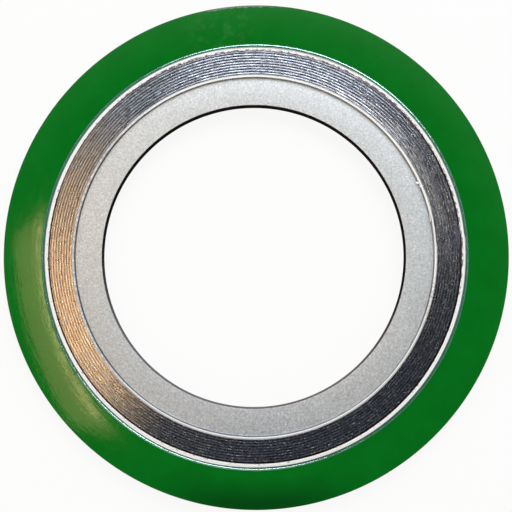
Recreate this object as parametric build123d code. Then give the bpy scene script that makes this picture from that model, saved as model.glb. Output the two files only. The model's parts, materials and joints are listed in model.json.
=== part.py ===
from build123d import *
import os
from math import atan2, cos, degrees, hypot, radians, sin

# A spiral wound flange gasket lying flat, in millimetres. +Z is up, and the origin is the centre of
# the gasket at half its height. From the bore outwards it is an inner ring, a V-shaped metal strip
# wound in one spiral with a softer filler strip between its turns, and a centring ring whose grooved
# bore holds the winding by its nose. Each size below is set by itself, and each piece starts where
# the piece inside it ends, plus a named clearance.

# ---- inner ring: a flat steel ring whose outer edge is turned to a blunt nose
bore_radius = 54.5
inner_ring_width = 9.55  # flat face, from the bore to the root of the nose
inner_ring_thickness = 3.2
inner_nose_reach = 0.9  # the nose stands out this far past the flat face
nose_flat = 0.2  # height of the blunt tip, and of the floor of the centring ring's groove
broken_edge = 0.15  # 45 degree break on the sharp edges of both rings

# ---- metal strip: rolled to a V whose point faces outwards
winding_height = 4.5
strip_thickness = 0.2
vee_depth = 0.8
vee_radius = 0.8  # inside the bend, at the point of the V
inner_plies = 4  # turns with no filler at the start
outer_plies = 7  # turns with no filler at the end
ply_clearance = 0.02  # hairline between two turns that have no filler between them

# ---- filler strip: wound in with the metal, over the middle turns
filler_turns = 9
filler_thickness = 0.74
filler_clearance = 0.01  # on each side of the filler
filler_recess = 0.05  # its edges lie this far inside the edges of the metal

# ---- where each turn climbs onto the next
seam_angle = 11.0  # degrees from +X, where the strip starts
climb_angle = 12.0  # the last stretch of every turn, before it passes the start again

# ---- centring ring: a painted flat steel ring
centring_ring_width = 13.95  # flat face, from the bevel to the rim
centring_ring_thickness = 3.2
bevel_reach = 0.75
bevel_drop = 0.4
land_height = 0.15  # straight stretch between the bevel and the groove
land_clearance = 0.2  # from the strip's flank to the edge of the groove

# ---- how loosely the rings hold the winding, measured at the point of the V
inner_nose_clearance = 0.25
outer_nose_clearance = 0.3

# ---- sizes that follow from those above
ply_pitch = strip_thickness + ply_clearance
filled_pitch = strip_thickness + filler_thickness + 2 * filler_clearance
half_height = winding_height / 2
inner_face_radius = bore_radius + inner_ring_width
inner_nose_radius = inner_face_radius + inner_nose_reach
winding_inner_radius = inner_nose_radius + inner_nose_clearance - vee_depth
climbs = [ply_pitch] * (inner_plies - 1) + [filled_pitch] * filler_turns + [ply_pitch] * (outer_plies - 1)
winding_outer_radius = winding_inner_radius + sum(climbs) + strip_thickness


def vee_reach(z):
    """How far the V stands out at height z, past where it is along its upper and lower edges."""
    return vee_depth * (1 - abs(z) / half_height)


def unit(angle):
    """The unit vector at an angle in degrees from +X."""
    return Vector(cos(radians(angle)), sin(radians(angle)))


def left_of(direction):
    """A horizontal direction turned a quarter turn to the left."""
    return Vector(-direction.Y, direction.X)


# ---------------------------------------------------------------------------- the path of a wound strip
class Bend:
    """One arc of a strip's path: it leaves start in the given direction and runs to end."""

    def __init__(self, start, direction, end):
        chord = end - start
        along, across = chord.dot(direction), chord.dot(left_of(direction))
        self.start = start
        self.direction = direction
        self.turn = 2 * degrees(atan2(across, along))  # positive to the left
        self.centre = start + left_of(direction) * (chord.length**2 / (2 * across))


def full_turn_bends(radius):
    """The stretch of a turn from the seam to where it starts to climb, as two arcs of one circle."""
    stretch = (360 - climb_angle) / 2
    angles = [seam_angle, seam_angle + stretch]
    return [Bend(unit(a) * radius, left_of(unit(a)), unit(a + stretch) * radius) for a in angles]


def climb_bends(radius, rise):
    """Two arcs, tangent to each other and to both turns, that lift the strip by the rise."""
    first, last = unit(seam_angle - climb_angle), unit(seam_angle)
    start, end = first * radius, last * (radius + rise)
    out_of, into = left_of(first), left_of(last)
    chord = end - start
    straight = 2 * chord.dot(out_of + into)
    bent = 2 * (1 - out_of.dot(into))
    lead = 2 * chord.length**2 / (straight + hypot(straight, 2 * chord.length * bent**0.5))
    meeting = (start + out_of * lead + end - into * lead) / 2
    lower = Bend(start, out_of, meeting)
    return [lower, Bend(meeting, out_of.rotate(Axis.Z, lower.turn), end)]


def spiral_bends(first_radius, rises):
    """The path of a strip that starts at the seam and climbs by one of the rises after each turn."""
    bends = full_turn_bends(first_radius)
    radius = first_radius
    for rise in rises:
        bends += climb_bends(radius, rise)
        radius += rise
        bends += full_turn_bends(radius)
    return bends


def wound(section, bends):
    """The section, drawn as (outwards, up), carried along the bends and closed into one solid."""
    skin = []
    for bend in bends:
        cut = Plane(bend.start, x_dir=-left_of(bend.direction), z_dir=-bend.direction) * section
        axis = Axis(bend.centre, (0, 0, 1) if bend.turn > 0 else (0, 0, -1))
        swept = revolve(cut, axis, abs(bend.turn))
        if bend is bends[0]:
            skin.append(cut.face())
        skin += [face for face in swept.faces() if not is_cut_end(face)]
    skin.append(cut.face().rotate(axis, abs(bend.turn)))
    return Solid(Shell(skin))


def is_cut_end(face):
    """True for a flat face that stands upright, as the two ends of a length of strip do."""
    return face.geom_type == GeomType.PLANE and abs(face.normal_at().Z) < 0.5


def vee_section(thickness, height, inner_bend_radius):
    """A chevron, its inner edge corner at 0, with the point of the V rounded on both sides."""
    reach = vee_reach(0) - vee_reach(height / 2)
    root = vee_reach(height / 2)
    inside = [(root, height / 2), (root + reach, 0), (root, -height / 2)]
    outside = [(x + thickness, z) for x, z in reversed(inside)]
    chevron = Polygon(*inside, *outside, align=None)
    corners = chevron.vertices().filter_by(lambda v: abs(v.Y) < half_height / 2).sort_by(Axis.X)
    chevron = fillet(corners[0], inner_bend_radius)
    corners = chevron.vertices().sort_by(Axis.X)
    return fillet(corners[-1], inner_bend_radius + thickness)


# ---------------------------------------------------------------------------- the pieces
def ring(profile):
    """A ring turned from a profile given as (radius, height) points for its upper half."""
    mirrored = [(r, -z) for r, z in reversed(profile)]
    return revolve(Plane.XZ * make_face(Polyline(*profile, *mirrored, close=True)), Axis.Z)


def inner_ring():
    top = inner_ring_thickness / 2
    return ring(
        [
            (bore_radius, top - broken_edge),
            (bore_radius + broken_edge, top),
            (inner_face_radius, top),
            (inner_nose_radius, nose_flat / 2),
        ]
    )


def winding_strip():
    section = vee_section(strip_thickness, winding_height, vee_radius)
    path = spiral_bends(winding_inner_radius, climbs)
    tail = climb_bends(winding_outer_radius - strip_thickness, ply_pitch)[:1]
    return wound(section, path + tail)


def filler_strip():
    section = vee_section(filler_thickness, winding_height - 2 * filler_recess, vee_radius + strip_thickness)
    under = winding_inner_radius + (inner_plies - 1) * ply_pitch + strip_thickness
    return wound(section, spiral_bends(under + filler_clearance, [filled_pitch] * (filler_turns - 1)))


def centring_ring():
    top = centring_ring_thickness / 2
    land_top = top - bevel_drop
    groove_mouth = land_top - land_height
    land_radius = winding_outer_radius + vee_reach(groove_mouth) + land_clearance
    groove_radius = winding_outer_radius + vee_depth + outer_nose_clearance
    face_radius = land_radius + bevel_reach
    rim_radius = face_radius + centring_ring_width
    return ring(
        [
            (groove_radius, nose_flat / 2),
            (land_radius, groove_mouth),
            (land_radius, land_top),
            (face_radius, top),
            (rim_radius - broken_edge, top),
            (rim_radius, top - broken_edge),
        ]
    )


os.makedirs("parts", exist_ok=True)
for make in (inner_ring, winding_strip, filler_strip, centring_ring):
    export_step(make(), f"parts/{make.__name__}.step")
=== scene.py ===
# %% [markdown]
# # A spiral wound gasket
#
# The real object is a flat seal for a pipe flange. From the bore outwards it is made of a plain steel
# ring, a winding and a green painted ring. The winding is one thin metal strip, rolled to a V and wound
# round and round with a dark filler strip between its turns, so its face looks like the grooves of a
# record. It is held in the painted ring by its V-shaped nose.
#
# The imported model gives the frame: where each piece is and how large. This script makes the looks
# around it. All lengths in Blender are metres, so the small sizes here are written in millimetres and
# turned into metres by MM.

# %% Load the frame
import json
import math

import bmesh
import bpy
from mathutils import Matrix, Vector


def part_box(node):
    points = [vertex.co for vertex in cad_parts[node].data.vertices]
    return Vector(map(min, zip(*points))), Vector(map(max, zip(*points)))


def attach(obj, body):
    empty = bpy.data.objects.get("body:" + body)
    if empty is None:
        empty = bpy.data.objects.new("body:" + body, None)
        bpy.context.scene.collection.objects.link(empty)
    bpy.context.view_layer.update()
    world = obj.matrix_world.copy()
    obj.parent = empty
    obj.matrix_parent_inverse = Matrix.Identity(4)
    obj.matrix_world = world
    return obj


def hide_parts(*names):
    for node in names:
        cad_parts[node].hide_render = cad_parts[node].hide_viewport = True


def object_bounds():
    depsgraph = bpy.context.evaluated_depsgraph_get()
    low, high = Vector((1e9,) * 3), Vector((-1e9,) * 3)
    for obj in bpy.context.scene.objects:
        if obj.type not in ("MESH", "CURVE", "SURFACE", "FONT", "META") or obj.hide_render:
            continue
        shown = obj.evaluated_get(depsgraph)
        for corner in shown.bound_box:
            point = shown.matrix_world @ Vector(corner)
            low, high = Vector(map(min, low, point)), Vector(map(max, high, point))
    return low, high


MM = 0.001
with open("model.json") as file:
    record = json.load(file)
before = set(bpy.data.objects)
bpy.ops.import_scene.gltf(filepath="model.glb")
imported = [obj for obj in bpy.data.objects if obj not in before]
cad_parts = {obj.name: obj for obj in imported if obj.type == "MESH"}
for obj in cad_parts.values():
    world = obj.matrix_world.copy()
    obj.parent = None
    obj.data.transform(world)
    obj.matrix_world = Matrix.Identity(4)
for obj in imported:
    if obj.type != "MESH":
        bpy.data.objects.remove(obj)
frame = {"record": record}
scene = bpy.context.scene
cad_low, cad_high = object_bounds()
print("CAD box, mm:", [round(side / MM, 2) for side in cad_high - cad_low])

# %% [markdown]
# ## Sizes
#
# Whatever the frame knows is read from it, so nothing has to be fitted afterwards. The bore comes from
# its mount, and the other radii and heights from the boxes of the pieces. Only what the boxes can't say,
# such as how often the strip goes round, is written here.

# %% Sizes, in millimetres
mounts = {mount["name"]: mount for mount in frame["record"]["mounts"]}
bore_radius = mounts["bore"]["dims"]["r_mm"]
rim_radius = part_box("centring_ring")[1].x / MM
ring_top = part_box("centring_ring")[1].z / MM
inner_nose_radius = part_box("inner_ring")[1].x / MM
inner_ring_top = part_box("inner_ring")[1].z / MM
winding_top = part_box("winding_strip")[1].z / MM
print("bore radius", bore_radius, "rim radius", round(rim_radius, 2), "winding top", round(winding_top, 2))

inner_nose_reach = 0.9
inner_face_radius = inner_nose_radius - inner_nose_reach
vee_depth = 0.8
winding_inner_radius = inner_nose_radius + 0.25 - vee_depth
strip_thickness = 0.2
ply_pitch = 0.22
filled_pitch = 0.96
inner_plies = 4
filler_turns = 9
outer_plies = 7
seam_angle = 11.0
climb_angle = 12.0
strip_end_angle = 6.9
strip_climbs = inner_plies + filler_turns + outer_plies - 2
winding_outer_radius = (
    winding_inner_radius
    + (inner_plies + outer_plies - 2) * ply_pitch
    + filler_turns * filled_pitch
    + strip_thickness
)
graphite_start = winding_inner_radius + (inner_plies - 1) * ply_pitch + strip_thickness + 0.01
print("winding from", round(winding_inner_radius, 2), "to", round(winding_outer_radius, 2), "mm radius")

# %% [markdown]
# ## Camera
#
# The gasket lies flat and is seen from straight above, from about its own width away: so near that the
# wall of the bore shows on one side. A camera above the middle, turned by a degree or two, gives this.
# The small shift keeps the gasket in the frame without turning the camera further.

# %% Camera
camera_data = bpy.data.cameras.new("camera")
camera = bpy.data.objects.new("camera", camera_data)
scene.collection.objects.link(camera)
camera.location = (1.84 * MM, -12.25 * MM, 178.85 * MM)
camera.rotation_euler = (math.radians(0.511), math.radians(1.64), 0)
camera_data.lens = 34.79
camera_data.sensor_width = 36
camera_data.shift_x = 0.0243
camera_data.shift_y = 0.0592
camera_data.clip_start = 10 * MM
scene.camera = camera
scene.view_settings.view_transform = "Standard"
print("camera", round(camera.location.z / MM), "mm above the gasket")

# %% [markdown]
# ## Making nodes
#
# Shaders and Geometry Nodes are both trees of nodes. One helper adds a node, sets it up and joins its
# inputs: an input given as another node's socket is linked, and anything else is its value. Two more add
# a Math node and a ramp, because both kinds of tree are full of small sums and soft steps.


# %% Helpers for node trees
def add(tree, kind, inputs=None, **settings):
    """Adds a node. The inputs are keyed by name or number."""
    node = tree.nodes.new(kind)
    for name, value in settings.items():
        setattr(node, name, value)
    for key, value in (inputs or {}).items():
        if isinstance(value, bpy.types.NodeSocket):
            tree.links.new(value, node.inputs[key])
        else:
            node.inputs[key].default_value = value
    return node


def calc(tree, operation, *values):
    """Adds a Math node and returns its result."""
    return add(tree, "ShaderNodeMath", dict(enumerate(values)), operation=operation).outputs[0]


def ramp(tree, value, start, end, **settings):
    """Adds a Map Range node that goes from 0 at the start to 1 at the end."""
    inputs = {"Value": value, "From Min": start, "From Max": end}
    return add(tree, "ShaderNodeMapRange", inputs, **settings).outputs[0]


def sockets(tree, takes, gives):
    """Names a group's inputs, given as (name, kind, value), and outputs, and returns its two end nodes."""
    for name, kind, value in takes:
        socket = tree.interface.new_socket(name, in_out="INPUT", socket_type="NodeSocket" + kind)
        if value is not None:
            socket.default_value = value
    for name, kind in gives:
        tree.interface.new_socket(name, in_out="OUTPUT", socket_type="NodeSocket" + kind)
    return tree.nodes.new("NodeGroupInput").outputs, tree.nodes.new("NodeGroupOutput").inputs


# %% [markdown]
# ## The rule of the winding
#
# A wound strip doesn't grow evenly. It lies on the turn below as a true circle, and climbs by one
# thickness only where it passes its own start, so every turn has its small step at the same place. This
# is one rule: count the climbs done so far, and add a ply's pitch or a filled turn's pitch for each.
#
# The strip could be a curve with points typed in, or a screw modifier. Geometry Nodes suit it better,
# because the rule is a few sums on the point's number, and the same tree winds both strips. The object
# that carries the modifier holds only the strip's section, which the tree sweeps along the path.

# %% Geometry Nodes tree that winds a section into a spiral
winding = bpy.data.node_groups.new("wind a strip", "GeometryNodeTree")
given, result = sockets(
    winding,
    [
        ("Section", "Geometry", None),
        ("First Radius", "Float", 0.06),
        ("Ply Pitch", "Float", 0.0002),
        ("Filled Pitch", "Float", 0.001),
        ("Plies Before Filler", "Int", 1),
        ("Filler Turns", "Int", 8),
        ("Turns", "Float", 9.0),
        ("Seam Angle", "Float", 0.0),
        ("Climb Angle", "Float", 12.0),
        ("Steps per Turn", "Int", 180),
        ("Half Height", "Float", 0.002),
        ("Wander", "Float", 0.0),
        ("Raggedness", "Float", 0.0),
        ("Rag Size", "Float", 0.001),
        ("Sunk Edge", "Float", 0.0),
        ("Start Dip", "Float", 0.0),
        ("End Spring", "Float", 0.0),
        ("Seed", "Float", 0.0),
        ("Material", "Material", None),
    ],
    [("Geometry", "Geometry")],
)

count = calc(winding, "ADD", calc(winding, "MULTIPLY", given["Turns"], given["Steps per Turn"]), 1)
line = add(winding, "GeometryNodeMeshLine", {"Count": count})
path = add(winding, "GeometryNodeMeshToCurve", {"Mesh": line.outputs[0]}).outputs[0]
number = add(winding, "GeometryNodeInputIndex").outputs[0]
turn = calc(winding, "DIVIDE", number, given["Steps per Turn"])
done = calc(winding, "FLOOR", turn)
share = calc(winding, "FRACT", turn)
print("tree has", len(winding.nodes), "nodes so far")

# %% Count the climbs and turn them into a radius
climb_share = calc(winding, "DIVIDE", given["Climb Angle"], 360)
climb_start = calc(winding, "SUBTRACT", 1, climb_share)
climbing = ramp(winding, share, climb_start, 1.0, interpolation_type="SMOOTHSTEP")
climbed = calc(winding, "ADD", done, climbing)
under = calc(winding, "SUBTRACT", given["Plies Before Filler"], 1)
first_plies = calc(winding, "MINIMUM", climbed, under)
past_first = calc(winding, "MAXIMUM", calc(winding, "SUBTRACT", climbed, under), 0)
filled = calc(winding, "MINIMUM", past_first, given["Filler Turns"])
last_plies = calc(winding, "MAXIMUM", calc(winding, "SUBTRACT", past_first, given["Filler Turns"]), 0)
plies = calc(winding, "ADD", first_plies, last_plies)
growth = calc(
    winding,
    "ADD",
    calc(winding, "MULTIPLY", plies, given["Ply Pitch"]),
    calc(winding, "MULTIPLY", filled, given["Filled Pitch"]),
)
radius = calc(winding, "ADD", given["First Radius"], growth)
angle = calc(
    winding,
    "ADD",
    calc(winding, "MULTIPLY", turn, math.tau),
    calc(winding, "MULTIPLY", given["Seam Angle"], math.radians(1)),
)

# %% [markdown]
# No winding machine is perfect. The path wanders in and out by a few hundredths of a millimetre, and all
# turns wander together, because each lies on the one before. A noise read at the point's own place does
# that. The last few degrees of the strip stand off, because nothing lies over them.

# %% Place the path
facing = add(
    winding, "ShaderNodeCombineXYZ", {0: calc(winding, "COSINE", angle), 1: calc(winding, "SINE", angle)}
).outputs[0]
wobble = add(
    winding,
    "ShaderNodeTexNoise",
    {"Vector": facing, "W": given["Seed"], "Scale": 3.0, "Detail": 2.0},
    noise_dimensions="4D",
).outputs[0]
wandered = calc(winding, "MULTIPLY", calc(winding, "SUBTRACT", wobble, 0.5), given["Wander"])
to_end = calc(winding, "SUBTRACT", given["Turns"], turn)
sprung = add(
    winding,
    "ShaderNodeMapRange",
    {"Value": to_end, "From Min": 0.03, "From Max": 0.0, "To Max": given["End Spring"]},
    interpolation_type="SMOOTHSTEP",
).outputs[0]
placed_radius = calc(winding, "ADD", calc(winding, "ADD", radius, wandered), sprung)
place = add(
    winding, "ShaderNodeVectorMath", {0: facing, "Scale": placed_radius}, operation="SCALE"
).outputs[0]
placed = add(winding, "GeometryNodeSetPosition", {"Geometry": path, "Position": place}).outputs[0]
upright = add(winding, "GeometryNodeSetCurveNormal", {"Curve": placed}, mode="Z_UP").outputs[0]
marked = upright
for label, value in (("climbed", climbed), ("wound", turn)):
    marked = add(
        winding,
        "GeometryNodeStoreNamedAttribute",
        {"Geometry": marked, "Name": label, "Value": value},
        data_type="FLOAT",
        domain="POINT",
    ).outputs[0]
outline = add(winding, "GeometryNodeMeshToCurve", {"Mesh": given["Section"]}).outputs[0]
inside_out = add(
    winding, "GeometryNodeCurveToMesh", {"Curve": marked, "Profile Curve": outline, "Fill Caps": True}
).outputs[0]
swept = add(winding, "GeometryNodeFlipFaces", {"Mesh": inside_out}).outputs[0]

# %% [markdown]
# The sweep leaves the faces turned inwards, so they were flipped.
#
# The edges of both strips carry the detail that catches the light. Close to the upper and lower edge a
# finer noise moves the mesh up and down, as torn filler or burred metal does. Where there is filler, the
# metal edge is sunk a little below it. The free start of the strip dips inwards at its edges.

# %% Rough the edges and finish the tree
spot = add(winding, "GeometryNodeInputPosition").outputs[0]
height = add(winding, "ShaderNodeSeparateXYZ", {0: spot}).outputs[2]
side = calc(winding, "SIGN", height)
to_edge = calc(winding, "DIVIDE", calc(winding, "ABSOLUTE", height), given["Half Height"])
edge = ramp(winding, to_edge, 0.8, 0.95)
rag = add(
    winding,
    "ShaderNodeTexNoise",
    {
        "Vector": spot,
        "W": given["Seed"],
        "Scale": calc(winding, "DIVIDE", 1, given["Rag Size"]),
        "Detail": 2.0,
        "Roughness": 0.6,
    },
    noise_dimensions="4D",
).outputs[0]
lift = calc(winding, "MULTIPLY", calc(winding, "SUBTRACT", rag, 0.5), given["Raggedness"])
at = add(winding, "GeometryNodeInputNamedAttribute", {"Name": "climbed"}, data_type="FLOAT").outputs[0]
past = calc(winding, "SUBTRACT", at, under)
in_filler = calc(
    winding,
    "MULTIPLY",
    calc(winding, "GREATER_THAN", past, 0.02),
    calc(winding, "LESS_THAN", past, calc(winding, "SUBTRACT", given["Filler Turns"], 0.02)),
)
lowered = calc(winding, "SUBTRACT", lift, calc(winding, "MULTIPLY", in_filler, given["Sunk Edge"]))
rise = calc(winding, "MULTIPLY", calc(winding, "MULTIPLY", lowered, edge), side)
wound = add(winding, "GeometryNodeInputNamedAttribute", {"Name": "wound"}, data_type="FLOAT").outputs[0]
from_start = add(
    winding,
    "ShaderNodeMapRange",
    {"Value": wound, "From Min": 0.0, "From Max": 0.009, "To Min": 1.0, "To Max": 0.0},
    interpolation_type="SMOOTHSTEP",
).outputs[0]
lean = calc(winding, "MULTIPLY", from_start, calc(winding, "MULTIPLY", to_edge, to_edge))
level = add(winding, "ShaderNodeVectorMath", {0: spot, 1: (1, 1, 0)}, operation="MULTIPLY").outputs[0]
outwards = add(winding, "ShaderNodeVectorMath", {0: level}, operation="NORMALIZE").outputs[0]
dip = calc(winding, "MULTIPLY", calc(winding, "MULTIPLY", lean, given["Start Dip"]), -1)
dipped = add(winding, "ShaderNodeVectorMath", {0: outwards, "Scale": dip}, operation="SCALE").outputs[0]
offset = add(
    winding,
    "ShaderNodeVectorMath",
    {0: dipped, 1: add(winding, "ShaderNodeCombineXYZ", {2: rise}).outputs[0]},
    operation="ADD",
).outputs[0]
shifted = add(winding, "GeometryNodeSetPosition", {"Geometry": swept, "Offset": offset}).outputs[0]
smooth = add(winding, "GeometryNodeSetShadeSmooth", {"Geometry": shifted}).outputs[0]
dressed = add(
    winding, "GeometryNodeSetMaterial", {"Geometry": smooth, "Material": given["Material"]}
).outputs[0]
winding.links.new(dressed, result["Geometry"])
print("winding tree has", len(winding.nodes), "nodes")

# %% [markdown]
# ## Shared effects
#
# The same few effects show on several finishes: a place measured round the gasket, a fine grain, bright
# or pale specks, and wear that starts at an edge and has a ragged end. Each is one node group with named
# inputs, so a material only gives its own values. A group hands on values and masks; the shader itself
# stays in the material.


# %% Group: where a point is on the gasket
def new_group(name, takes, gives):
    """An empty shader node group and its two ends."""
    tree = bpy.data.node_groups.new(name, "ShaderNodeTree")
    takes_out, gives_in = sockets(tree, takes, gives)
    return tree, takes_out, gives_in


place_group, takes, gives = new_group(
    "place on the gasket",
    [("Vector", "Vector", None)],
    [("Radius mm", "Float"), ("Height mm", "Float"), ("Facing", "Vector"), ("Degrees", "Float")],
)
parts = add(place_group, "ShaderNodeSeparateXYZ", {0: takes["Vector"]}).outputs
flat = add(
    place_group, "ShaderNodeVectorMath", {0: takes["Vector"], 1: (1, 1, 0)}, operation="MULTIPLY"
).outputs[0]
reach = add(place_group, "ShaderNodeVectorMath", {0: flat}, operation="LENGTH").outputs["Value"]
unit = add(place_group, "ShaderNodeVectorMath", {0: flat}, operation="NORMALIZE").outputs[0]
bearing = calc(place_group, "ARCTAN2", parts[1], parts[0])
turned = calc(place_group, "ADD", calc(place_group, "DEGREES", bearing), 360)
degrees = calc(place_group, "MODULO", turned, 360)
place_group.links.new(calc(place_group, "DIVIDE", reach, MM), gives["Radius mm"])
place_group.links.new(calc(place_group, "DIVIDE", parts[2], MM), gives["Height mm"])
place_group.links.new(unit, gives["Facing"])
place_group.links.new(degrees, gives["Degrees"])

# %% Group: fine grain
grain_group, takes, gives = new_group(
    "fine grain",
    [("Vector", "Vector", None), ("Grain mm", "Float", 0.5), ("Low", "Float", 0.0), ("High", "Float", 1.0)],
    [("Value", "Float"), ("Height", "Float")],
)
noise = add(
    grain_group,
    "ShaderNodeTexNoise",
    {
        "Vector": takes["Vector"],
        "Scale": calc(grain_group, "DIVIDE", 1 / MM, takes["Grain mm"]),
        "Detail": 3.0,
        "Roughness": 0.6,
    },
).outputs["Fac"]
spread = add(
    grain_group,
    "ShaderNodeMapRange",
    {"Value": noise, "From Min": 0.3, "From Max": 0.7, "To Min": takes["Low"], "To Max": takes["High"]},
).outputs[0]
grain_group.links.new(spread, gives["Value"])
grain_group.links.new(noise, gives["Height"])

# %% Group: specks
speck_group, takes, gives = new_group(
    "specks",
    [
        ("Vector", "Vector", None),
        ("Spacing mm", "Float", 3.0),
        ("Size", "Float", 0.1),
        ("Share", "Float", 0.2),
    ],
    [("Mask", "Float")],
)
cells = add(
    speck_group,
    "ShaderNodeTexVoronoi",
    {"Vector": takes["Vector"], "Scale": calc(speck_group, "DIVIDE", 1 / MM, takes["Spacing mm"])},
).outputs
chance = add(speck_group, "ShaderNodeSeparateColor", {0: cells["Color"]}).outputs
chosen = calc(speck_group, "LESS_THAN", chance[0], takes["Share"])
wide = calc(speck_group, "MULTIPLY", takes["Size"], calc(speck_group, "ADD", chance[1], 0.3))
core = calc(speck_group, "MULTIPLY", wide, 0.6)
near = ramp(speck_group, cells["Distance"], wide, core)
speck_group.links.new(calc(speck_group, "MULTIPLY", chosen, near), gives["Mask"])

# %% Group: worn edge
wear_group, takes, gives = new_group(
    "worn edge",
    [
        ("Vector", "Vector", None),
        ("From Edge mm", "Float", 0.0),
        ("Reach mm", "Float", 0.3),
        ("Ragged mm", "Float", 0.3),
        ("Patch mm", "Float", 2.0),
    ],
    [("Mask", "Float")],
)
patches = add(
    wear_group,
    "ShaderNodeTexNoise",
    {
        "Vector": takes["Vector"],
        "Scale": calc(wear_group, "DIVIDE", 1 / MM, takes["Patch mm"]),
        "Detail": 4.0,
        "Roughness": 0.65,
    },
).outputs["Fac"]
swing = calc(wear_group, "MULTIPLY", calc(wear_group, "SUBTRACT", patches, 0.5), 4)
limit = calc(wear_group, "ADD", takes["Reach mm"], calc(wear_group, "MULTIPLY", swing, takes["Ragged mm"]))
past_limit = calc(wear_group, "SUBTRACT", limit, takes["From Edge mm"])
worn = ramp(wear_group, past_limit, 0.0, 0.08)
wear_group.links.new(worn, gives["Mask"])
print("shared effects:", place_group.name, grain_group.name, speck_group.name, wear_group.name)


# %% Helpers for materials
def new_material(name):
    """A material, its tree, its Principled shader and the Object coordinates."""
    material = bpy.data.materials.new(name)
    material.use_nodes = True
    tree = material.node_tree
    coordinates = add(tree, "ShaderNodeTexCoord").outputs["Object"]
    return material, tree, tree.nodes["Principled BSDF"], coordinates


def use(tree, group, inputs):
    """Places a shared effect in a material and returns its outputs."""
    return add(tree, "ShaderNodeGroup", inputs, node_tree=group).outputs


def blend(tree, share, first, second):
    """Mixes two colours and returns the result."""
    mix = add(tree, "ShaderNodeMix", data_type="RGBA")
    for socket, value in ((mix.inputs[0], share), (mix.inputs[6], first), (mix.inputs[7], second)):
        if isinstance(value, bpy.types.NodeSocket):
            tree.links.new(value, socket)
        else:
            socket.default_value = value if isinstance(value, (int, float)) else (*value, 1)
    return mix.outputs[2]


def raise_by(tree, shader, height, depth):
    """Joins a Bump node, with the depth in metres, to the shader."""
    bump = add(tree, "ShaderNodeBump", {"Height": height, "Distance": depth, "Strength": 1.0})
    tree.links.new(bump.outputs[0], shader.inputs["Normal"])


# %% Group: streaks that run round the gasket
usual_radius = 70.0
streak_group, takes, gives = new_group(
    "streaks round the gasket",
    [
        ("Facing", "Vector", None),
        ("Radius mm", "Float", usual_radius),
        ("Across mm", "Float", 0.3),
        ("Along mm", "Float", 2.0),
        ("Low", "Float", 0.0),
        ("High", "Float", 1.0),
    ],
    [("Value", "Float"), ("Height", "Float")],
)
round_it = add(
    streak_group,
    "ShaderNodeVectorMath",
    {0: takes["Facing"], "Scale": calc(streak_group, "DIVIDE", usual_radius, takes["Along mm"])},
    operation="SCALE",
).outputs[0]
across_it = calc(streak_group, "DIVIDE", takes["Radius mm"], takes["Across mm"])
outwards = add(streak_group, "ShaderNodeCombineXYZ", {2: across_it}).outputs[0]
stretched = add(
    streak_group, "ShaderNodeVectorMath", {0: round_it, 1: outwards}, operation="ADD"
).outputs[0]
noise = add(
    streak_group, "ShaderNodeTexNoise", {"Vector": stretched, "Scale": 1.0, "Detail": 2.0, "Roughness": 0.6}
).outputs["Fac"]
spread = add(
    streak_group,
    "ShaderNodeMapRange",
    {"Value": noise, "From Min": 0.32, "From Max": 0.68, "To Min": takes["Low"], "To Max": takes["High"]},
).outputs[0]
streak_group.links.new(spread, gives["Value"])
streak_group.links.new(noise, gives["Height"])

# %% Group: a stretch of the ring
stretch_group, takes, gives = new_group(
    "stretch of the ring",
    [
        ("Degrees", "Float", 0.0),
        ("Middle", "Float", 0.0),
        ("Half Width", "Float", 5.0),
        ("Fade", "Float", 2.0),
    ],
    [("Mask", "Float")],
)
away = calc(stretch_group, "SUBTRACT", takes["Degrees"], takes["Middle"])
away = calc(stretch_group, "ABSOLUTE", calc(stretch_group, "WRAP", away, 180, -180))
faded_out = calc(stretch_group, "ADD", takes["Half Width"], takes["Fade"])
inside = ramp(stretch_group, away, faded_out, takes["Half Width"], interpolation_type="SMOOTHSTEP")
stretch_group.links.new(inside, gives["Mask"])
print("more shared effects:", streak_group.name, stretch_group.name)


# %% Short forms for the shared effects
def grained(tree, where, size, low=0.0, high=1.0):
    """Fine grain, its size in millimetres."""
    return use(tree, grain_group, {"Vector": where, "Grain mm": size, "Low": low, "High": high})


def streaked(tree, on, across, along):
    """Streaks round the gasket, with their width and length in millimetres."""
    inputs = {"Facing": on["Facing"], "Radius mm": on["Radius mm"], "Across mm": across, "Along mm": along}
    return use(tree, streak_group, inputs)


def stretch(tree, degrees, middle, half_width, fade):
    """The mask of one stretch of the ring. All three numbers are degrees."""
    inputs = {"Degrees": degrees, "Middle": middle, "Half Width": half_width, "Fade": fade}
    return use(tree, stretch_group, inputs)["Mask"]


# %% [markdown]
# The face of the winding isn't the same all the way round. On one side its colours carry a painted bronze
# sheen, the reflection of a warm lamp. On the near side, and on the outer turns to the right, they are
# darkened by painted shade. The metal and the filler share these two stretches, so they are one group
# with two masks.

# %% Group: painted sheen and shade of the winding
tint_group, takes, gives = new_group(
    "tinted stretches of the winding",
    [("Degrees", "Float", 0.0), ("Radius mm", "Float", 70.0)],
    [("Bronze", "Float"), ("Dusty", "Float")],
)
bronze_side = stretch(tint_group, takes["Degrees"], 184.0, 20.0, 40.0)
dusty_side = stretch(tint_group, takes["Degrees"], 292.0, 52.0, 60.0)
dusty_outside = stretch(tint_group, takes["Degrees"], 22.0, 22.0, 30.0)
far_out = add(
    tint_group,
    "ShaderNodeMapRange",
    {"Value": takes["Radius mm"], "From Min": 66.5, "From Max": 70.5, "To Max": 0.8},
    interpolation_type="SMOOTHSTEP",
).outputs[0]
outer_dust = calc(tint_group, "MULTIPLY", dusty_outside, far_out)
tint_group.links.new(bronze_side, gives["Bronze"])
tint_group.links.new(calc(tint_group, "MAXIMUM", dusty_side, outer_dust), gives["Dusty"])
print("painted sheen and shade:", [socket.name for socket in gives if socket.name])

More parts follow.
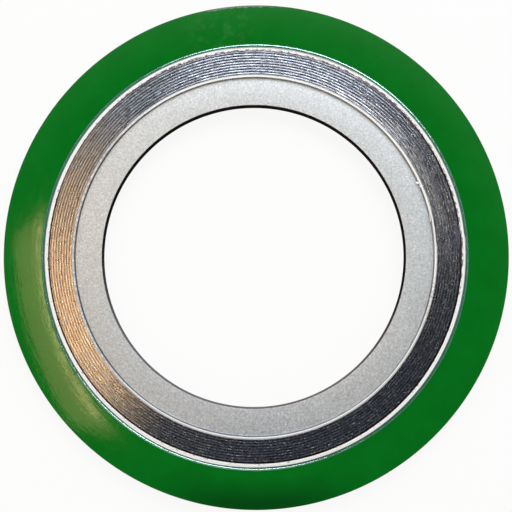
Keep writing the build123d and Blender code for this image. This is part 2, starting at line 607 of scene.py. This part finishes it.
# %% [markdown]
# ## Finishes
#
# The painted ring is smooth green enamel over steel. It is thin on the bevel, and a narrow ridge there is
# bare metal. It has gone from the rim in places: the wear is measured from the corner, so it eats into the
# face and the wall alike. The face carries a few pale specks and scuffs from handling.

# %% Green enamel
paint, tree, shader, where = new_material("green enamel")
on = use(tree, place_group, {"Vector": where})
radius_mm, degrees = on["Radius mm"], on["Degrees"]
mottle = grained(tree, where, 9.0)
enamel = blend(tree, mottle["Value"], (0.0006, 0.148, 0.0095), (0.001, 0.168, 0.012))
# A soft darker patch near the rim on the near side is a painted shadow.
thick_patch = stretch(tree, degrees, 271.0, 4.0, 26.0)
near_rim = ramp(tree, radius_mm, 79.0, 88.0)
thick = calc(tree, "MULTIPLY", calc(tree, "MULTIPLY", thick_patch, near_rim), 0.85)
enamel = blend(tree, thick, enamel, (0.0006, 0.055, 0.006))
specks = use(tree, speck_group, {"Vector": where, "Spacing mm": 8.0, "Size": 0.05, "Share": 0.14})
enamel = blend(tree, calc(tree, "MULTIPLY", specks["Mask"], 0.75), enamel, (0.3, 0.5, 0.34))

# %% Scuffs, bare rim and thin bevel
scuff_place = stretch(tree, degrees, 98.0, 3.0, 8.0)
cloud = grained(tree, where, 3.0, low=-0.6, high=1.0)["Value"]
scuff_haze = calc(tree, "MAXIMUM", calc(tree, "MULTIPLY", cloud, 0.035), 0)
scuffed = calc(tree, "MULTIPLY", scuff_place, scuff_haze)
enamel = blend(tree, scuffed, enamel, (0.45, 0.6, 0.45))
from_rim = calc(tree, "SUBTRACT", rim_radius, radius_mm)
below_top = calc(tree, "SUBTRACT", ring_top, calc(tree, "ABSOLUTE", on["Height mm"]))
from_corner = calc(tree, "ADD", from_rim, calc(tree, "MAXIMUM", below_top, 0))
rim_wear = use(
    tree,
    wear_group,
    {"Vector": where, "From Edge mm": from_corner, "Reach mm": 0.14, "Ragged mm": 0.4, "Patch mm": 5.0},
)["Mask"]
top_rub = stretch(tree, degrees, 93.0, 4.0, 8.0)
rub = use(
    tree,
    wear_group,
    {"Vector": where, "From Edge mm": from_corner, "Reach mm": 0.7, "Ragged mm": 0.5, "Patch mm": 2.0},
)["Mask"]
rim_colour = blend(tree, top_rub, (0.09, 0.075, 0.045), (0.2, 0.22, 0.2))
bare_rim = calc(tree, "MULTIPLY", rim_wear, 0.8)
rubbed_rim = calc(tree, "MULTIPLY", rub, calc(tree, "MULTIPLY", top_rub, 0.8))
bare = calc(tree, "MAXIMUM", bare_rim, rubbed_rim)
enamel = blend(tree, bare, enamel, rim_colour)
bevel_edge, thin_from = 76.6, 76.35
ridge_outer, ridge_inner = (76.33, 76.29), (75.98, 76.02)
thin = ramp(tree, radius_mm, bevel_edge, thin_from, interpolation_type="SMOOTHSTEP")
burr = calc(tree, "MULTIPLY", ramp(tree, radius_mm, *ridge_outer), ramp(tree, radius_mm, *ridge_inner))
streaks = streaked(tree, on, 0.3, 3.0)
enamel = blend(tree, thin, enamel, (0.06, 0.27, 0.17))
bare_burr = blend(tree, streaks["Value"], (0.42, 0.7, 0.64), (0.6, 0.88, 0.85))
enamel = blend(tree, burr, enamel, bare_burr)
tree.links.new(enamel, shader.inputs["Base Color"])
tree.links.new(burr, shader.inputs["Metallic"])
shader.inputs["Specular IOR Level"].default_value = 0.3
orange_peel = grained(tree, where, 1.8, low=0.06, high=0.12)
brushed = streaked(tree, on, 0.9, 7.0)
roughness = calc(tree, "ADD", orange_peel["Value"], calc(tree, "MULTIPLY", bare, 0.2))
roughness = calc(tree, "ADD", roughness, calc(tree, "MULTIPLY", brushed["Value"], 0.05))
tree.links.new(roughness, shader.inputs["Roughness"])
relief = calc(tree, "ADD", orange_peel["Height"], brushed["Height"])
raise_by(tree, shader, relief, 0.02 * MM)
print(paint.name, "has", len(tree.nodes), "nodes")

# %% [markdown]
# The inner ring is bare stainless plate with the fine matt grain of rolled and pickled steel: tiny facets
# that sparkle a little, some brighter and some duller than the rest. The wall of the bore is painted near
# black, the painted shade of the deep wall, and lighter on its near side as painted light, so it has a
# finish of its own.

# %% Matt stainless and the shaded bore wall
plate, tree, shader, where = new_material("matt stainless plate")
grain = grained(tree, where, 0.7)
cloud = grained(tree, where, 6.0)
face = blend(tree, grain["Value"], (0.55, 0.568, 0.587), (0.885, 0.903, 0.922))
face = blend(tree, calc(tree, "MULTIPLY", cloud["Value"], 0.25), face, (0.62, 0.635, 0.65))
degrees = use(tree, place_group, {"Vector": where})["Degrees"]
# The near side of the plate is painted darker and bluer: painted shade and a painted cool reflection.
cooler = stretch(tree, degrees, 240.0, 25.0, 55.0)
cool_face = blend(tree, grain["Value"], (0.48, 0.518, 0.575), (0.775, 0.83, 0.905))
face = blend(tree, cooler, face, cool_face)
sparks = use(tree, speck_group, {"Vector": where, "Spacing mm": 1.3, "Size": 0.2, "Share": 0.16})["Mask"]
face = blend(tree, sparks, face, (1.0, 1.0, 1.0))
tree.links.new(face, shader.inputs["Base Color"])
shader.inputs["Metallic"].default_value = 1.0
roughness = calc(tree, "ADD", 0.56, calc(tree, "MULTIPLY", grain["Value"], 0.15))
tree.links.new(roughness, shader.inputs["Roughness"])
raise_by(tree, shader, grain["Height"], 0.05 * MM)

cut_wall, tree, shader, where = new_material("dark cut wall")
soot = grained(tree, where, 0.8)
degrees = use(tree, place_group, {"Vector": where})["Degrees"]
# The near stretch of the wall is painted lighter as painted light; the rest is painted near black as shade.
dusted = stretch(tree, degrees, 262.0, 45.0, 45.0)
skin = blend(tree, soot["Value"], (0.006, 0.004, 0.004), (0.02, 0.014, 0.013))
tree.links.new(blend(tree, dusted, skin, (0.14, 0.115, 0.115)), shader.inputs["Base Color"])
shader.inputs["Specular IOR Level"].default_value = 0.0
shader.inputs["Roughness"].default_value = 0.9
raise_by(tree, shader, soot["Height"], 0.05 * MM)

# %% [markdown]
# The strip is bright cold-rolled stainless, of which only the cut edges show. The plies wound without
# filler are packed tight and burnished. They look almost white from every side, so the shader takes them
# for a pale matt surface and only the edges between the filler for metal. Those are smeared with graphite
# here and there and darkened further by painted shade in their sunk grooves; on the near side they are
# lightened by painted light, and on one side they carry a painted bronze reflection. The pale plies are
# painted lighter or darker by their place round the ring. The tree stored on every point how many climbs
# lie below it, and this attribute tells the two apart.

# %% Bright strip
strip_metal, tree, shader, where = new_material("bright strip")
on = use(tree, place_group, {"Vector": where})
radius_mm, degrees = on["Radius mm"], on["Degrees"]
climbs = add(tree, "ShaderNodeAttribute", attribute_name="climbed").outputs["Fac"]
first_filled = inner_plies - 1
last_filled = inner_plies - 1 + filler_turns + 0.9
inside_filler = calc(
    tree,
    "MULTIPLY",
    ramp(tree, climbs, first_filled, first_filled + 0.3),
    ramp(tree, climbs, last_filled, last_filled - 0.3),
)
streaks = streaked(tree, on, 0.35, 1.6)
tint = use(tree, tint_group, {"Degrees": degrees, "Radius mm": radius_mm})
# Edge colour: graphite smear and painted shade of the sunk grooves, painted light on the near side and a
# painted bronze reflection on one side.
smeared = blend(tree, streaks["Value"], (0.03, 0.031, 0.038), (0.36, 0.38, 0.44))
rubbed_clean = blend(tree, streaks["Value"], (0.14, 0.14, 0.165), (0.82, 0.87, 1.0))
smeared = blend(tree, tint["Dusty"], smeared, rubbed_clean)
bronze = blend(tree, streaks["Value"], (0.26, 0.17, 0.115), (0.62, 0.47, 0.37))
smeared = blend(tree, tint["Bronze"], smeared, bronze)
nicks = streaked(tree, on, 0.5, 1.3)
tick_stretch = stretch(tree, degrees, 58.0, 58.0, 20.0)
how_often = calc(tree, "ADD", 0.2, calc(tree, "MULTIPLY", tick_stretch, 0.33))
ticks = ramp(tree, calc(tree, "SUBTRACT", how_often, nicks["Value"]), 0.0, 0.12)
first_white = calc(
    tree,
    "MULTIPLY",
    calc(tree, "GREATER_THAN", climbs, last_filled),
    calc(tree, "LESS_THAN", climbs, last_filled + 1.6),
)
ticks = calc(tree, "MULTIPLY", ticks, first_white)
stain_stretch = stretch(tree, degrees, 78.0, 14.0, 10.0)
stain = calc(tree, "MULTIPLY", stain_stretch, calc(tree, "GREATER_THAN", climbs, last_filled + 3.2))
blotches = streaked(tree, on, 0.5, 1.0)
burnished = blend(tree, blotches["Value"], (0.97, 0.975, 0.99), (0.99, 0.995, 1.0))
mottling = calc(tree, "ADD", 0.5, calc(tree, "MULTIPLY", blotches["Value"], 0.4))
stain_mottle = calc(tree, "MULTIPLY", stain, mottling)
burnished = blend(tree, stain_mottle, burnished, (0.16, 0.13, 0.07))
near_stretch = stretch(tree, degrees, 262.0, 30.0, 25.0)
in_between = calc(
    tree,
    "MULTIPLY",
    calc(tree, "GREATER_THAN", climbs, last_filled + 2.6),
    calc(tree, "LESS_THAN", climbs, last_filled + 3.3),
)
brown_line = calc(tree, "MULTIPLY", near_stretch, in_between)
burnished = blend(tree, calc(tree, "MULTIPLY", brown_line, 0.3), burnished, (0.42, 0.28, 0.26))
inner_plies_here = calc(tree, "LESS_THAN", climbs, first_filled)
# The inner plies are painted lighter on the far right and darker on the near side: painted light and shade,
# over random dull patches.
bright_stretch = stretch(tree, degrees, 60.0, 45.0, 40.0)
dull = calc(tree, "SUBTRACT", 0.9, blotches["Value"])
dull = calc(tree, "SUBTRACT", dull, calc(tree, "MULTIPLY", bright_stretch, 0.6))
first_two = calc(tree, "LESS_THAN", climbs, 1.7)
first_duller = calc(tree, "MULTIPLY", first_two, calc(tree, "SUBTRACT", 0.25, bright_stretch))
dull_near = stretch(tree, degrees, 282.0, 50.0, 20.0)
dull_far = calc(tree, "ADD", dull, first_duller)
next_duller = calc(tree, "MULTIPLY", calc(tree, "SUBTRACT", 1.0, first_two), 0.65)
dull = add(tree, "ShaderNodeMix", {0: dull_near, 2: dull_far, 3: next_duller}).outputs[0]
dull = calc(tree, "MULTIPLY", calc(tree, "MAXIMUM", dull, 0.0), inner_plies_here)
burnished = blend(tree, calc(tree, "MINIMUM", dull, 0.85), burnished, (0.3, 0.285, 0.3))
last_inner = calc(
    tree,
    "MULTIPLY",
    calc(tree, "GREATER_THAN", climbs, first_filled - 0.6),
    calc(tree, "LESS_THAN", climbs, first_filled + 0.15),
)
burnished = blend(tree, calc(tree, "MULTIPLY", last_inner, 0.6), burnished, (0.22, 0.21, 0.22))
last_of_all = calc(tree, "GREATER_THAN", climbs, last_filled + outer_plies - 2.3)
lit_stretch = stretch(tree, degrees, 248.0, 8.0, 14.0)
shade = calc(tree, "SUBTRACT", 0.8, calc(tree, "MULTIPLY", lit_stretch, 0.75))
shaded = calc(tree, "MULTIPLY", last_of_all, shade)
burnished = blend(tree, shaded, burnished, (0.22, 0.36, 0.33))
burnished = blend(tree, calc(tree, "MULTIPLY", ticks, 0.85), burnished, (0.08, 0.045, 0.045))
# The metal edge of the last filled turn is painted darker: painted shade where it lies below the filler.
heat_tint = calc(tree, "MULTIPLY", inside_filler, calc(tree, "GREATER_THAN", climbs, last_filled - 1))
smeared = blend(tree, heat_tint, smeared, (0.09, 0.06, 0.065))
tree.links.new(blend(tree, inside_filler, burnished, smeared), shader.inputs["Base Color"])
tree.links.new(inside_filler, shader.inputs["Metallic"])
roughness = calc(tree, "SUBTRACT", 0.5, calc(tree, "MULTIPLY", inside_filler, 0.25))
tree.links.new(roughness, shader.inputs["Roughness"])
calmer = calc(tree, "SUBTRACT", 1.0, calc(tree, "MULTIPLY", tint["Bronze"], 0.6))
raise_by(tree, shader, calc(tree, "MULTIPLY", streaks["Height"], calmer), 0.03 * MM)
print(strip_metal.name, "has", len(tree.nodes), "nodes")

# %% [markdown]
# The filler is pressed graphite. It is nearly black, but its flakes lie flat and shine like pencil lead,
# so it is a dark metal to the shader. Winding and handling have drawn the flakes out along the turns.

# %% Pressed graphite
graphite, tree, shader, where = new_material("pressed graphite")
on = use(tree, place_group, {"Vector": where})
radius_mm = on["Radius mm"]
flakes = streaked(tree, on, 0.3, 3.0)
tint = use(tree, tint_group, {"Degrees": on["Degrees"], "Radius mm": radius_mm})
contrast = calc(tree, "POWER", flakes["Value"], 1.4)
dark = blend(tree, contrast, (0.12, 0.125, 0.15), (0.76, 0.8, 0.92))
coarse = grained(tree, where, 2.0)
long_arcs = streaked(tree, on, 1.1, 14.0)
duller = calc(
    tree,
    "MAXIMUM",
    calc(tree, "MULTIPLY", coarse["Value"], 0.4),
    calc(tree, "MULTIPLY", long_arcs["Value"], 0.6),
)
dark = blend(tree, duller, dark, (0.11, 0.115, 0.135))
# Near black on the near side is painted shade, and the bronze on one side is a painted reflection of a warm
# lamp.
dark = blend(tree, calc(tree, "MULTIPLY", tint["Dusty"], 0.89), dark, (0.012, 0.016, 0.028))
bronze = blend(tree, contrast, (0.66, 0.47, 0.33), (0.98, 0.88, 0.76))
bronze = blend(tree, calc(tree, "MULTIPLY", duller, 0.5), bronze, (0.45, 0.3, 0.19))
dark = blend(tree, tint["Bronze"], dark, bronze)
glints = use(
    tree,
    streak_group,
    {
        "Facing": on["Facing"],
        "Radius mm": radius_mm,
        "Across mm": 0.22,
        "Along mm": 0.7,
        "Low": -4.2,
        "High": 1.5,
    },
)["Value"]
glint_share = calc(tree, "MAXIMUM", calc(tree, "MINIMUM", glints, 1.0), 0.0)
glint_share = calc(tree, "MULTIPLY", glint_share, calc(tree, "SUBTRACT", 1.0, tint["Bronze"]))
undusted = calc(tree, "SUBTRACT", 1.0, calc(tree, "MULTIPLY", tint["Dusty"], 0.6))
glint_share = calc(tree, "MULTIPLY", glint_share, undusted)
dark = blend(tree, glint_share, dark, (0.82, 0.9, 1.0))
turn_number = add(tree, "ShaderNodeAttribute", attribute_name="climbed").outputs["Fac"]
turn_radius = calc(tree, "MULTIPLY_ADD", turn_number, filled_pitch, graphite_start)
across = calc(tree, "SUBTRACT", radius_mm, turn_radius)
# The outer edge of the last filled turn is painted darker, more on the near side: painted shade in the gap
# beside the plies.
last_edge = calc(
    tree,
    "MULTIPLY",
    calc(tree, "GREATER_THAN", turn_number, filler_turns - 1.1),
    calc(tree, "GREATER_THAN", across, 0.38),
)
far_side = stretch(tree, on["Degrees"], 100.0, 48.0, 20.0)
near_side = calc(tree, "SUBTRACT", 1.0, calc(tree, "MULTIPLY", far_side, 0.6))
last_edge = calc(tree, "MULTIPLY", last_edge, near_side)
dark = blend(tree, last_edge, dark, (0.03, 0.02, 0.024))
tree.links.new(dark, shader.inputs["Base Color"])
shader.inputs["Metallic"].default_value = 1.0
roughness = calc(tree, "ADD", 0.24, calc(tree, "MULTIPLY", coarse["Value"], 0.12))
tree.links.new(roughness, shader.inputs["Roughness"])
calmer = calc(tree, "SUBTRACT", 1.0, calc(tree, "MULTIPLY", tint["Bronze"], 0.6))
raise_by(tree, shader, calc(tree, "MULTIPLY", flakes["Height"], calmer), 0.035 * MM)
print(graphite.name, "has", len(tree.nodes), "nodes")

# %% [markdown]
# ## The two strips
#
# Each strip is wound from its section: a thin chevron whose point faces outwards. The metal one has
# rounded edges and is drawn a touch thicker than it is, which closes the hairlines between the burnished
# plies. The filler is thicker and its edges are crowned, because it is pressed out a little between the
# turns.


# %% Sections
def arc(centre, size, first, last, steps):
    """Points on an arc from one angle to the other, in degrees."""
    angles = [math.radians(first + (last - first) * step / steps) for step in range(steps + 1)]
    return [(centre[0] + size * math.cos(a), centre[1] + size * math.sin(a)) for a in angles]


def chevron(thickness, half_height, full_half_height, crown, bend_radius):
    """The outline of a V-shaped strip, its point outwards, with crowned edges and a rounded point."""
    slope = vee_depth / full_half_height
    tilt = math.degrees(math.atan(slope))
    root = vee_depth - slope * (half_height - crown)
    top_middle = root + thickness / 2
    edge_arc = [
        (top_middle + thickness / 2 * math.cos(a), half_height - crown + crown * math.sin(a) ** 2)
        for a in [math.pi * step / 6 for step in range(7)]
    ]
    bend_centre = vee_depth - bend_radius / math.cos(math.radians(tilt))
    outer = arc((bend_centre, 0), bend_radius + thickness, tilt, -tilt, 4)
    inner = arc((bend_centre, 0), bend_radius, -tilt, tilt, 4)
    lower = [(x, -z) for x, z in edge_arc]
    return edge_arc[::-1] + outer + lower + inner


def section_object(name, outline):
    """An object whose mesh is the closed outline, in metres. The sweep turns it upside down."""
    mesh = bpy.data.meshes.new(name)
    points = [(x * MM, z * MM, 0) for x, z in outline]
    mesh.from_pydata(points, [(i, (i + 1) % len(points)) for i in range(len(points))], [])
    piece = bpy.data.objects.new(name, mesh)
    scene.collection.objects.link(piece)
    return piece


def wind(name, outline, material, values):
    """Winds the outline with the tree and turns the result into a plain mesh."""
    piece = section_object(name, outline)
    modifier = piece.modifiers.new("winding", "NODES")
    modifier.node_group = winding
    values = {**values, "Material": material}
    for item in winding.interface.items_tree:
        if item.in_out == "INPUT" and item.name in values:
            modifier[item.identifier] = values[item.name]
    made = bpy.data.meshes.new_from_object(piece.evaluated_get(bpy.context.evaluated_depsgraph_get()))
    piece.modifiers.clear()
    piece.data = made
    made.set_sharp_from_angle(angle=math.radians(50))
    triangles = sum(len(face.vertices) - 2 for face in made.polygons)
    print(name, "has", triangles, "triangles")
    return piece


# %% Wind the metal strip
closed_hairline = 0.015
metal_below_top = 0.02
metal_crown = 0.015
metal_bend = 0.8
path_wander = 0.08
metal = wind(
    "wound_metal_strip",
    chevron(
        strip_thickness + closed_hairline,
        winding_top - metal_below_top,
        winding_top,
        metal_crown,
        metal_bend,
    ),
    strip_metal,
    {
        "First Radius": winding_inner_radius * MM,
        "Ply Pitch": ply_pitch * MM,
        "Filled Pitch": filled_pitch * MM,
        "Plies Before Filler": inner_plies,
        "Filler Turns": filler_turns,
        "Turns": strip_climbs + 1 - (seam_angle - strip_end_angle) / 360,
        "Seam Angle": seam_angle,
        "Climb Angle": climb_angle,
        "Steps per Turn": 180,
        "Half Height": winding_top * MM,
        "Wander": path_wander * MM,
        "Raggedness": 0.05 * MM,
        "Rag Size": 1.2 * MM,
        "Sunk Edge": 0.16 * MM,
        "Start Dip": 0.5 * MM,
        "End Spring": 0.12 * MM,
        "Seed": 1.0,
    },
)

# %% [markdown]
# The first ply is held to the next by two spot welds a little past its start. Each is a small bead of
# melted metal on the upper edge, so it joins the strip's mesh as a flattened ball.

# %% Weld beads on the first ply
beads = bmesh.new()
beads.from_mesh(metal.data)
bead_depth = 0.27
bead_size = Vector((0.5, 0.5, 0.25))
for bearing, bead_radius in ((23.9, 64.0), (22.6, 64.6)):
    a = math.radians(bearing)
    spot = Vector((bead_radius * math.cos(a), bead_radius * math.sin(a), winding_top - bead_depth)) * MM
    shape = Matrix.LocRotScale(spot, None, bead_size)
    made = bmesh.ops.create_icosphere(beads, subdivisions=2, radius=MM, matrix=shape)
    for face in {face for corner in made["verts"] for face in corner.link_faces}:
        face.smooth = True
beads.to_mesh(metal.data)
beads.free()
print("strip with weld beads has", len(metal.data.polygons), "faces")

# %% Wind the filler strip
filler_clearance = 0.04
filler_below_top = 0.01
filler_crown = 0.1
filler_bend = 1.0
filler_thickness = filled_pitch - strip_thickness - filler_clearance
filler = wind(
    "wound_filler_strip",
    chevron(filler_thickness, winding_top - filler_below_top, winding_top, filler_crown, filler_bend),
    graphite,
    {
        "First Radius": (graphite_start + 0.01) * MM,
        "Filled Pitch": filled_pitch * MM,
        "Plies Before Filler": 1,
        "Filler Turns": filler_turns - 1,
        "Turns": filler_turns - climb_angle / 360,
        "Seam Angle": seam_angle,
        "Climb Angle": climb_angle,
        "Steps per Turn": 360,
        "Half Height": winding_top * MM,
        "Wander": path_wander * MM,
        "Raggedness": 0.05 * MM,
        "Rag Size": 0.8 * MM,
        "Seed": 1.0,
    },
)

# %% [markdown]
# ## The two rings
#
# Both rings are turned: one outline carried round the axis. A bevel modifier could break their edges, but
# the outline already says where each corner is, so every corner is given its own small arc there. The
# bevel of the painted ring rises to a slight rolled ridge, which is what catches the small ceiling lamp.


# %% Turn a ring from its outline
def rounded(corners, steps=4):
    """Replaces each corner (radius, height, rounding) of a closed outline by a small arc."""
    points = []
    for i, (x, z, size) in enumerate(corners):
        corner = Vector((x, z))
        if size == 0:
            points.append(corner)
            continue
        before = (Vector(corners[i - 1][:2]) - corner).normalized()
        after = (Vector(corners[(i + 1) % len(corners)][:2]) - corner).normalized()
        half = before.angle(after) / 2
        lead = size / math.tan(half)
        middle = corner + (before + after).normalized() * size / math.sin(half)
        start, end = corner + before * lead - middle, corner + after * lead - middle
        for step in range(steps + 1):
            points.append(middle + start.lerp(end, step / steps).normalized() * size)
    return points


def turned_ring(name, upper_outline, material, steps=720):
    """A closed ring from the upper half of its outline, from the bore out."""
    lower = [(x, -z, size) for x, z, size in reversed(upper_outline)]
    outline = rounded(upper_outline + lower)
    mesh = bpy.data.meshes.new(name)
    points = []
    for step in range(steps):
        a = math.tau * step / steps
        points += [(p.x * MM * math.cos(a), p.x * MM * math.sin(a), p.y * MM) for p in outline]
    n = len(outline)
    faces = []
    for step in range(steps):
        this, following = step * n, (step + 1) % steps * n
        for i in range(n):
            j = (i + 1) % n
            faces.append((this + i, this + j, following + j, following + i))
    mesh.from_pydata(points, [], faces)
    piece = bpy.data.objects.new(name, mesh)
    scene.collection.objects.link(piece)
    shell = bmesh.new()
    shell.from_mesh(mesh)
    bmesh.ops.recalc_face_normals(shell, faces=shell.faces)
    volume = shell.calc_volume(signed=True) / MM**3
    print(name, "volume", round(volume), "mm3, triangles", 2 * len(shell.faces))
    shell.to_mesh(mesh)
    shell.free()
    mesh.polygons.foreach_set("use_smooth", [True] * len(mesh.polygons))
    mesh.set_sharp_from_angle(angle=math.radians(25))
    mesh.materials.append(material)
    return piece


# %% Inner ring
inner = turned_ring(
    "inner_ring_body",
    [
        (bore_radius, inner_ring_top, 0.15),
        (inner_face_radius, inner_ring_top, 0.12),
        (inner_nose_radius, 0.1, 0.05),
    ],
    plate,
)
inner.data.materials.append(cut_wall)
wall_limit = (bore_radius + 0.03) * MM
wall_faces = 0
for face in inner.data.polygons:
    if Vector((face.center.x, face.center.y)).length < wall_limit:
        face.material_index = 1
        wall_faces += 1
print(wall_faces, "faces of the bore are dark")

# %% Centring ring
land_height = 1.05
land_gap, groove_gap = 0.2, 0.3
land_radius = winding_outer_radius + vee_depth * (1 - land_height / winding_top) + land_gap
groove_radius = winding_outer_radius + vee_depth + groove_gap
bevel_reach = 0.75
bevel = [
    # how far past the land, how far below the face, rounding
    (0.0, 0.3, 0.02),
    (0.18, 0.15, 0.02),
    (0.305, 0.1, 0.7),
    (0.43, 0.091, 0.02),
    (0.48, 0.105, 0.02),
    (bevel_reach, 0.0, 0.3),
]
centring = turned_ring(
    "centring_ring_body",
    [
        (groove_radius, 0.1, 0.05),
        (land_radius, land_height, 0.05),
        *((land_radius + past, ring_top - below, size) for past, below, size in bevel),
        (rim_radius, ring_top, 0.12),
    ],
    paint,
)

# %% [markdown]
# ## Studio
#
# The floor is pale and the light is soft. A wide window light stands on the far side, a warm lamp with a
# narrow brighter tube hangs high on the left, and a small cool lamp hangs from the ceiling. The rest is a
# bright sky with one dark place, straight above and to the near side, where a person leans over the table.
# Metal shows what it faces: the dark place, with the shade painted into the winding's colours there, makes
# the near half of the winding almost black, while the far half is bright.

# %% Floor
floor_mesh = bpy.data.meshes.new("floor")
half_floor = 2.0
corners = [(x * half_floor, y * half_floor, cad_low.z) for x, y in ((-1, -1), (1, -1), (1, 1), (-1, 1))]
floor_mesh.from_pydata(corners, [], [(0, 1, 2, 3)])
floor = bpy.data.objects.new("floor", floor_mesh)
scene.collection.objects.link(floor)
floor_paper, tree, shader, where = new_material("pale floor")
shader.inputs["Base Color"].default_value = (0.9, 0.9, 0.9, 1)
shader.inputs["Roughness"].default_value = 0.9
shader.inputs["Specular IOR Level"].default_value = 0.0
white = add(tree, "ShaderNodeEmission", {"Color": (1, 1, 1, 1), "Strength": 1.0}).outputs[0]
rays = add(tree, "ShaderNodeLightPath").outputs
seen = calc(tree, "MULTIPLY", calc(tree, "MAXIMUM", rays["Is Camera Ray"], rays["Is Glossy Ray"]), 0.88)
paper = add(tree, "ShaderNodeMixShader", {0: seen, 1: shader.outputs[0], 2: white}).outputs[0]
tree.links.new(paper, tree.nodes["Material Output"].inputs["Surface"])
floor_mesh.materials.append(floor_paper)
print("floor at", round(cad_low.z / MM, 2), "mm")

# %% World
world = bpy.data.worlds.new("studio")
scene.world = world
world.use_nodes = True
tree = world.node_tree
tree.nodes.clear()
toward = add(tree, "ShaderNodeTexCoord").outputs["Generated"]
person = Vector((-0.054, -0.201, 0.978))
toward_person = add(
    tree, "ShaderNodeVectorMath", {0: toward, 1: person}, operation="DOT_PRODUCT"
).outputs["Value"]
sky = add(
    tree,
    "ShaderNodeMapRange",
    {"Value": toward_person, "From Min": 0.86, "From Max": 0.39, "To Min": 0.07, "To Max": 1.0},
    interpolation_type="SMOOTHSTEP",
).outputs[0]
soft = add(tree, "ShaderNodeBackground", {"Color": (0.93, 0.97, 1.0, 1), "Strength": sky}).outputs[0]
white = add(tree, "ShaderNodeBackground", {"Color": (1, 1, 1, 1), "Strength": 1.0}).outputs[0]
rays = add(tree, "ShaderNodeLightPath").outputs
seen = add(tree, "ShaderNodeMixShader", {0: rays["Is Camera Ray"], 1: soft, 2: white}).outputs[0]
add(tree, "ShaderNodeOutputWorld", {"Surface": seen})


# %% Lamps
def soft_lamp(name, towards, distance, width, depth, brightness, colour):
    """A lamp that faces the gasket. The width runs sideways, the depth up and down the sky."""
    data = bpy.data.lights.new(name, "AREA")
    data.shape = "RECTANGLE"
    data.size = width
    data.size_y = depth
    data.energy = brightness * math.pi * width * depth
    data.color = colour
    lamp = bpy.data.objects.new(name, data)
    scene.collection.objects.link(lamp)
    direction = Vector(towards).normalized()
    lamp.location = direction * distance
    lamp.rotation_mode = "QUATERNION"
    lamp.rotation_quaternion = direction.to_track_quat("Z", "Y")
    print(name, "gives", round(data.energy, 2), "W")


soft_lamp("ceiling_lamp", (0.05, 0.237, 0.97), 1.0, 0.2, 0.13, 9.0, (0.95, 0.98, 1.0))
soft_lamp("window", (0.18, 0.848, 0.5), 1.0, 1.15, 0.5, 4.2, (0.92, 0.97, 1.0))
soft_lamp("warm_lamp", (-0.448, -0.111, 0.83), 0.95, 0.5, 0.19, 4.0, (1.0, 0.66, 0.33))
soft_lamp("warm_tube", (-0.378, -0.075, 0.83), 0.91, 0.42, 0.04, 11.0, (1.0, 0.74, 0.36))

# %% [markdown]
# ## Hand over
#
# Each made piece rides on the one body and stands for its CAD node, which is hidden.

# %% Hand over
for piece, node, slot in (
    (metal, "winding_strip", "strip_stainless"),
    (filler, "filler_strip", "graphite_filler"),
    (inner, "inner_ring", "bare_stainless"),
    (centring, "centring_ring", "green_paint"),
):
    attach(piece, "root")
    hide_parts(node)
    print(piece.name, "stands for", node)
